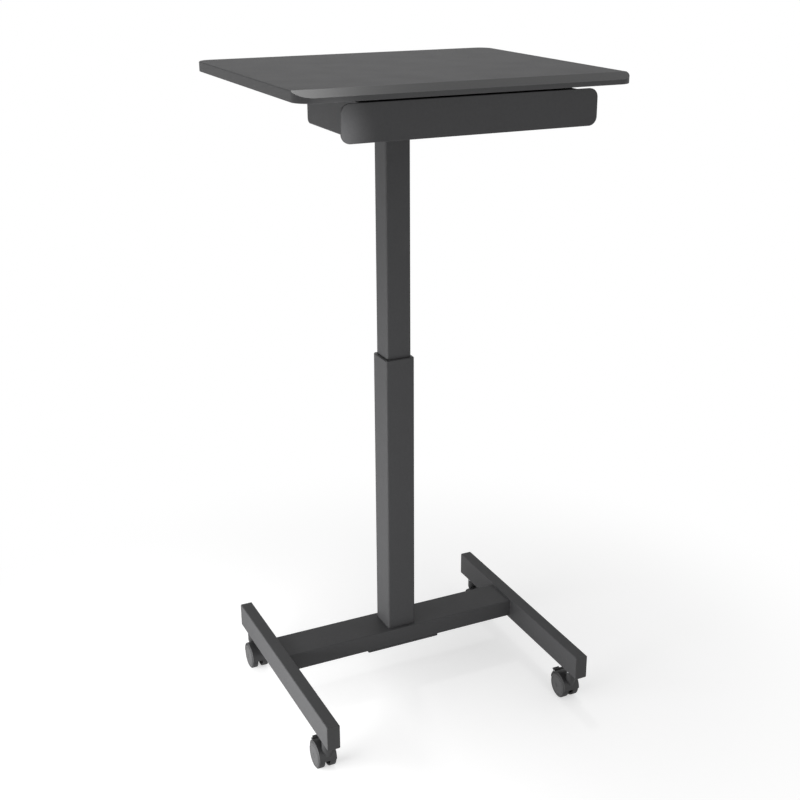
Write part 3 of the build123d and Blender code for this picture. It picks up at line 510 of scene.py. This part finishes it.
def grip_body(length, width, thick, steps=64, rows=75):
    """A soft bar along z from its root, closing in at both ends and grooved on its lower side.

    Each section is a superellipse |x / a|^n + |y / b|^n = 1. At the tip and the root b shrinks by
    (1 - s^4)^(1/4), s running from 0 to 1, and a shrinks by a share of that, the taper. The grooves
    are a cosine of z that fades out short of both ends.
    """
    along = np.linspace(0, length, rows)
    tip = np.clip((along - (length - GRIP_TIP)) / GRIP_TIP, 0, 1)
    root = np.clip((GRIP_ROOT - along) / GRIP_ROOT, 0, 1)
    shrink = ((1 - tip ** 4) * (1 - root ** 4)) ** 0.25
    narrow = (1 - GRIP_TAPER * (1 - shrink)) * np.sign(shrink)
    angle = np.linspace(0, 2 * np.pi, steps, endpoint=False)
    cos, sin = np.cos(angle), np.sin(angle)
    bend = (np.abs(cos) ** GRIP_SQUARE + np.abs(sin) ** GRIP_SQUARE) ** (-1 / GRIP_SQUARE)
    across = width / 2 * np.outer(narrow, bend * cos)
    from_root = np.clip((along - FINGER_FROM_ROOT) / FINGER_FADE, 0, 1)
    to_tip = np.clip((length - FINGER_FROM_TIP - along) / FINGER_FADE, 0, 1)
    groove = FINGER_DEPTH / 2 * (1 - np.cos(2 * np.pi * along / FINGER_PITCH)) * from_root * to_tip
    up = thick / 2 * np.outer(shrink, bend * sin) + np.outer(groove, sin < FINGER_SIDE)
    points = np.stack([across, up, np.outer(along, np.ones(steps))], -1)
    start = points[:1] * (0, 0, 1)
    end = points[-1:] * (0, 0, 1)
    return np.concatenate([start, points, end]).reshape(-1, 3), grid_quads(rows + 2, steps)


# Placing of pieces


# The directions that a placed shape's x, y and z axes take, named by where z points. Each set is
# right-handed, so that threads stay so.
UP = ((1, 0, 0), (0, 1, 0), (0, 0, 1))
DOWN = ((1, 0, 0), (0, -1, 0), (0, 0, -1))
REARWARD = ((1, 0, 0), (0, 0, -1), (0, 1, 0))
FORWARD = ((1, 0, 0), (0, 0, 1), (0, -1, 0))
RIGHTWARD = ((0, 1, 0), (0, 0, 1), (1, 0, 0))


def placed(shape, at, axes=UP):
    """A shape in millimetres carried to a place in metres, with the given directions for its axes."""
    points, quads = shape
    return points * MM @ np.array(axes, float) + np.array(at, float), quads


def merged(parts):
    """Several (points, quads) as one."""
    offsets = np.cumsum([0] + [len(points) for points, _ in parts[:-1]])
    return (
        np.concatenate([points for points, _ in parts]),
        np.concatenate([quads + offset for (_, quads), offset in zip(parts, offsets)]),
    )


def mark_edges(shape):
    """Smooth faces, with edges sharper than the edge angle left sharp."""
    for face in shape.faces:
        face.smooth = True
    for edge in shape.edges:
        edge.smooth = len(edge.link_faces) == 2 and edge.calc_face_angle(0) < EDGE_ANGLE


def settle(name, mesh, finishes, node):
    """Put a mesh in the scene as the piece that stands for a CAD node, with its finishes, on its body,
    and hide the node.
    """
    for finish in finishes:
        mesh.materials.append(finish)
    piece = bpy.data.objects.new(name, mesh)
    bpy.context.scene.collection.objects.link(piece)
    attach(piece, nodes[node]["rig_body"])
    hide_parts(node)
    return piece


def new_piece(name, parts, finishes, node):
    """A smooth piece from placed shapes, in place of a node: doubles merged, normals out."""
    points, quads = merged(parts)
    mesh = bpy.data.meshes.new(name)
    mesh.from_pydata(points, [], quads.tolist())
    shape = bmesh.new()
    shape.from_mesh(mesh)
    bmesh.ops.remove_doubles(shape, verts=shape.verts, dist=MERGE_GAP)
    bmesh.ops.dissolve_degenerate(shape, edges=shape.edges, dist=MERGE_GAP)
    bmesh.ops.recalc_face_normals(shape, faces=shape.faces)
    mark_edges(shape)
    shape.to_mesh(mesh)
    shape.free()
    return settle(name, mesh, finishes, node)


def ease_edges(piece, ease_mm):
    """Round a piece's sharp edges, and let its larger faces set how the surface catches the light."""
    bevel = piece.modifiers.new("eased_edges", "BEVEL")
    bevel.width = ease_mm * MM
    bevel.segments = EDGE_ROWS
    bevel.limit_method = "ANGLE"
    bevel.angle_limit = EDGE_ANGLE
    even = piece.modifiers.new("even_normals", "WEIGHTED_NORMAL")
    even.keep_sharp = True


def eased_copy(node, finish, ease_mm):
    """A merged copy of a node, its sharp edges eased by a small round as paint and tools leave them."""
    shape = bmesh.new()
    shape.from_mesh(nodes[node].data)
    bmesh.ops.remove_doubles(shape, verts=shape.verts, dist=MERGE_GAP)
    bmesh.ops.dissolve_limit(shape, angle_limit=FLAT_ANGLE, verts=shape.verts, edges=shape.edges)
    mark_edges(shape)
    mesh = bpy.data.meshes.new(f"{node}_eased")
    shape.to_mesh(mesh)
    shape.free()
    piece = settle(f"{node}_eased", mesh, [finish], node)
    ease_edges(piece, ease_mm)
    return piece


def paint(node, finish):
    """Give a CAD node a finish."""
    nodes[node].data.materials.clear()
    nodes[node].data.materials.append(finish)


def middle_of(node):
    """The middle of a node's box."""
    low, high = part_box(node)
    return (np.array(low) + np.array(high)) / 2


def four_corners(node, across, along, axes=(0, 1)):
    """The places of four fasteners in a node's box, each half a head in from its corners."""
    low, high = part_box(node)
    first, second = axes
    for x in (low[first] + across * MM, high[first] - across * MM):
        for y in (low[second] + along * MM, high[second] - along * MM):
            yield x, y


# The table


def dress_board():
    """The board: melamine on its face and underside, film darkened as painted shade on the bevel,
    banding on the upright edge.
    """
    piece = eased_copy("tabletop", board, BOARD_EASE)
    for finish in (banding, film):
        piece.data.materials.append(finish)
    for face in piece.data.polygons:
        upright = abs(face.normal.z) < UPRIGHT
        bevelled = face.normal.z > 0 and face.normal.y < BEVEL_LEAN
        face.material_index = 1 if upright else 2 if bevelled else 0


def dress_steel():
    """Tubes and pressings under powder coat, each edge eased as the powder flows over it."""
    for node, ease_mm in STEEL_EASE.items():
        eased_copy(node, coat, ease_mm)
    paint("gas_spring_cylinder", coat)


def dress_mouldings():
    """Moulded nylon: end caps, column sleeves, drawer glides, caster bodies, pedals and spring parts."""
    for node, ease_mm in NYLON_EASE.items():
        eased_copy(node, nylon, ease_mm)
    for node in ("gas_spring_guide", "gas_spring_piston"):
        paint(node, nylon)


def dress_rods():
    """Plated pins, stems, rings and welded nuts, and the chromed rod."""
    plated = ["lever_pivot_pin", "release_pin", "caster_nuts", "caster_stems", "stem_snap_rings"]
    plated += [f"{corner}_caster_axle" for corner in CORNERS]
    plated += [f"{corner}_pedal_pin" for corner in BRAKED]
    for node in plated:
        eased_copy(node, zinc, ROD_EASE)
    eased_copy("gas_spring_rod", chrome, ROD_EASE)


def wheel_shape(width):
    """A cup wheel about z, its open side at z = 0 and its face at z = width, with ribs in the cup."""
    floor = width - DISC_WALL
    rim_in = WHEEL_R - TREAD_WALL
    shoulder = width - WHEEL_SHOULDER
    sunk = width - FACE_SINK
    shell = turned([
        (0, BORE_DEPTH), (BORE_R, BORE_DEPTH), (BORE_R, 0), (HUB_R, 0), (HUB_R, floor),
        (rim_in, floor), (rim_in, RIM_CHAMFER), (rim_in + RIM_CHAMFER, 0),
        *[(WHEEL_R + out, up) for out, up in TREAD_FOOT],
        *[(WHEEL_R + out, shoulder + up) for out, up in TREAD_SHOULDER],
        *[(WHEEL_FACE_R + out, width + up) for out, up in FACE_EDGE],
        (GROOVE_OUT, width), (GROOVE_OUT, sunk), (GROOVE_IN, sunk), (GROOVE_IN, width),
        (DISH_R, width), (DISH_R - DISH_SIDE, sunk), (0, sunk),
    ])
    rib_low = (HUB_R - RIB_ROOT, -RIB_WALL / 2, RIB_RECESS)
    rib_high = (rim_in + RIB_ROOT, RIB_WALL / 2, floor + RIB_ROOT)
    points, quads = slab(rib_low, rib_high)
    ribs = []
    for turn in np.arange(RIB_COUNT) * 2 * np.pi / RIB_COUNT:
        cos, sin = np.cos(turn), np.sin(turn)
        ribs.append((points @ np.array([(cos, sin, 0), (-sin, cos, 0), (0, 0, 1)]), quads))
    return merged([shell, *ribs])


def dress_wheels():
    """The eight cup wheels: a moulded disc, and a darker tyre outside the face."""
    for corner in CORNERS:
        axle = middle_of(f"{corner}_caster_axle")
        for which in ("outer", "inner"):
            node = f"{corner}_{which}_wheel"
            low, high = np.array(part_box(node))
            start = middle_of(node)
            outward = np.sign(start[0] - axle[0])
            start[0] = low[0] if outward > 0 else high[0]
            width = (high - low)[0] / MM
            axes = ((0, 1, 0), (0, 0, 1), (outward, 0, 0))
            parts = [placed(wheel_shape(width), start, axes)]
            wheel = new_piece(f"{node}_turned", parts, [disc, tread], node)
            middles = np.array([face.center for face in wheel.data.polygons]) - start
            reach = np.hypot(middles[:, 1], middles[:, 2])
            wheel.data.polygons.foreach_set("material_index", (reach > WHEEL_FACE_R * MM).astype(int))
            ease_edges(wheel, WHEEL_EASE)


def new_fasteners(node, parts):
    """Zinc-plated fasteners in place of a node."""
    new_piece(f"{node}_turned", parts, [zinc], node)


def hex_corners(node, across):
    """The places of four hex heads or nuts in a node's box."""
    return four_corners(node, across / 2 / np.cos(HEX_TURN / 2), across / 2)


def bolt_set(node, bolt):
    """Four hex bolts entered from below: a head under its seat and a threaded shank above it."""
    low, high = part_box(node)
    seat = low[2] + bolt["head"] * MM
    head = hex_solid(bolt["across"], bolt["head"], 0)
    shank = threaded(bolt["radius"], bolt["pitch"], (high[2] - seat) / MM)
    parts = []
    for x, y in hex_corners(node, bolt["across"]):
        parts += [placed(head, (x, y, seat), DOWN), placed(shank, (x, y, seat))]
    new_fasteners(node, parts)


def nut_set(node, bolt):
    """The four nuts of a bolt set, each standing with its plain face on its seat."""
    low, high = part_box(node)
    nut = hex_solid(bolt["across"], (high[2] - low[2]) / MM, bolt["radius"] + BORE_PLAY)
    new_fasteners(node, [placed(nut, (x, y, low[2])) for x, y in hex_corners(node, bolt["across"])])


def dress_bolts():
    """Hex bolts and nuts of the column's foot and head, and the three nuts on the gas spring's studs."""
    bolt_set("foot_bolts", FOOT_BOLT)
    bolt_set("head_bolts", HEAD_BOLT)
    nut_set("foot_nuts", FOOT_BOLT)
    nut_set("head_nuts", HEAD_BOLT)
    nut = hex_solid(**STUD_NUT)
    height = STUD_NUT["height"] * MM
    low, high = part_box("rod_nuts")
    x, y, _ = middle_of("rod_nuts")
    pair = [placed(nut, (x, y, low[2] + height), DOWN), placed(nut, (x, y, high[2] - height))]
    new_fasteners("rod_nuts", pair)
    low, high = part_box("gas_spring_foot_nut")
    x, y, _ = middle_of("gas_spring_foot_nut")
    new_fasteners("gas_spring_foot_nut", [placed(nut, (x, y, high[2]), DOWN)])


def screw_set(node, screw, seats, length, head_way, shank_way):
    """Cross-headed screws, each with its head on one side of its seat and its shank on the other."""
    head = pan_head(SCREW_HEAD_R, screw["head"])
    shank = threaded(screw["radius"], screw["pitch"], length)
    parts = []
    for seat in seats:
        parts += [placed(head, seat, head_way), placed(shank, seat, shank_way)]
    new_fasteners(node, parts)


def board_screws(node, screw, places):
    """Screws driven up into the board, their heads at the foot of the node's box."""
    low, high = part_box(node)
    level = low[2] + screw["head"] * MM
    seats = [(x, y, level) for x, y in places]
    screw_set(node, screw, seats, (high[2] - level) / MM, DOWN, UP)


def panel_screws(node, screw):
    """Four screws driven forwards, their heads at the back of the node's box."""
    low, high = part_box(node)
    level = high[1] - screw["head"] * MM
    seats = [(x, level, z) for x, z in four_corners(node, SCREW_HEAD_R, SCREW_HEAD_R, (0, 2))]
    screw_set(node, screw, seats, (level - low[1]) / MM, REARWARD, FORWARD)


def dress_screws():
    """Cross-headed screws: up into the board, and forwards into the drawer's front."""
    corners = four_corners("bracket_screws", SCREW_HEAD_R, SCREW_HEAD_R)
    board_screws("bracket_screws", BRACKET_SCREW, corners)
    corners = four_corners("runner_screws", SCREW_HEAD_R, SCREW_HEAD_R)
    low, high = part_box("runner_screws")
    middle = (low[1] + high[1]) / 2
    between = [(x, middle) for x in (low[0] + SCREW_HEAD_R * MM, high[0] - SCREW_HEAD_R * MM)]
    board_screws("runner_screws", RUNNER_SCREW, [*corners, *between])
    panel_screws("drawer_front_screws", PANEL_SCREW)


def dress_grip():
    """The lever's moulded grip."""
    low, high = np.array(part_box("lever_grip"))
    start = middle_of("lever_grip")
    start[0] = low[0]
    body = placed(grip_body(*(high - low) / MM), start, RIGHTWARD)
    new_piece("lever_grip_moulded", [body], [nylon], "lever_grip")


# Room, light and camera


def seen_directly(tree):
    """One where the camera, a gloss or a clear material sees the surface, nought for its light."""
    path = add(tree, "ShaderNodeLightPath").outputs
    shiny = add(
        tree, "ShaderNodeMath", {0: path["Is Camera Ray"], 1: path["Is Glossy Ray"]}, operation="MAXIMUM"
    )
    clear = add(
        tree, "ShaderNodeMath", {0: shiny.outputs[0], 1: path["Is Transmission Ray"]},
        operation="MAXIMUM",
    )
    return clear.outputs[0]


def light_room():
    """A pale even room that the camera and glossy surfaces see as white, three soft boxes and a lamp."""
    world = bpy.data.worlds.new("pale_room")
    bpy.context.scene.world = world
    world.use_nodes = True
    tree = world.node_tree
    tree.nodes.clear()
    dim = add(tree, "ShaderNodeBackground", {"Color": WHITE, "Strength": ROOM_LIGHT})
    white = add(tree, "ShaderNodeBackground", {"Color": WHITE, "Strength": 1.0})
    mix = add(
        tree, "ShaderNodeMixShader", {0: seen_directly(tree), 1: dim.outputs[0], 2: white.outputs[0]}
    )
    add(tree, "ShaderNodeOutputWorld", {"Surface": mix.outputs[0]})
    for name, box in SOFT_BOXES.items():
        soft_box(name, **box)
    spot_lamp("corner_lamp", **CORNER_LAMP)


def soft_box(name, place, aim, size, power):
    """A rectangular area light."""
    data = bpy.data.lights.new(name, "AREA")
    data.shape = "RECTANGLE"
    data.size, data.size_y = size
    data.energy = power
    hang_light(data, place, aim)


def spot_lamp(name, place, aim, cone, radius, power):
    """A lamp in a snoot, its cone in degrees, fading from the middle of its pool to the edge."""
    data = bpy.data.lights.new(name, "SPOT")
    data.energy = power
    data.spot_size = radians(cone)
    data.spot_blend = 1.0
    data.shadow_soft_size = radius
    hang_light(data, place, aim)


def hang_light(data, place, aim):
    """Put a light in the scene, facing a point, where the camera doesn't see it."""
    light = bpy.data.objects.new(data.name, data)
    light.location = place
    light.rotation_euler = (Vector(aim) - Vector(place)).to_track_quat("-Z", "Y").to_euler()
    light.visible_camera = False
    bpy.context.scene.collection.objects.link(light)


def studio_paper():
    """Pale paper that glows by itself where it is seen: half near the table, and wholly far from it."""
    material = bpy.data.materials.new("pale_studio_floor")
    material.use_nodes = True
    tree = material.node_tree
    tree.nodes.clear()
    place = add(tree, "ShaderNodeTexCoord").outputs["Object"]
    reach = add(tree, "ShaderNodeVectorMath", {0: place}, operation="LENGTH").outputs["Value"]
    own = add(
        tree, "ShaderNodeMapRange",
        {"Value": reach, "From Min": GLOW_NEAR, "From Max": GLOW_FAR, "To Min": LEAST_GLOW},
        interpolation_type="SMOOTHSTEP",
    )
    seen = seen_directly(tree)
    share = add(tree, "ShaderNodeMath", {0: seen, 1: own.outputs[0]}, operation="MULTIPLY")
    pale = add(
        tree, "ShaderNodeMapRange", {"Value": seen, "To Min": FLOOR_PALE, "To Max": FLOOR_SEEN}
    )
    paper = add(tree, "ShaderNodeBsdfDiffuse", {"Color": pale.outputs[0]})
    glow = add(tree, "ShaderNodeEmission", {"Color": WHITE, "Strength": 1.0})
    mix = add(
        tree, "ShaderNodeMixShader", {0: share.outputs[0], 1: paper.outputs[0], 2: glow.outputs[0]}
    )
    add(tree, "ShaderNodeOutputMaterial", {"Surface": mix.outputs[0]})
    return material


def lay_floor():
    """A wide floor of studio paper under the casters."""
    corners = np.array([(-1, -1, 0), (1, -1, 0), (1, 1, 0), (-1, 1, 0)], float) * FLOOR_REACH
    mesh = bpy.data.meshes.new("studio_floor")
    mesh.from_pydata(corners, [], [(0, 1, 2, 3)])
    mesh.materials.append(studio_paper())
    floor = bpy.data.objects.new("studio_floor", mesh)
    bpy.context.scene.collection.objects.link(floor)


def set_camera():
    """The camera that the photograph was solved for."""
    data = bpy.data.cameras.new("photo_camera")
    data.lens = CAMERA_LENS
    data.shift_x, data.shift_y = CAMERA_SHIFT
    data.clip_end = CAMERA_REACH
    camera = bpy.data.objects.new("photo_camera", data)
    camera.location = CAMERA_PLACE
    camera.rotation_euler = (radians(CAMERA_TILT), 0.0, radians(CAMERA_TURN))
    bpy.context.scene.collection.objects.link(camera)
    bpy.context.scene.camera = camera
    bpy.context.scene.view_settings.view_transform = "Standard"


set_camera()
light_room()
lay_floor()
dress_board()
dress_steel()
dress_mouldings()
dress_rods()
dress_wheels()
dress_bolts()
dress_screws()
dress_grip()
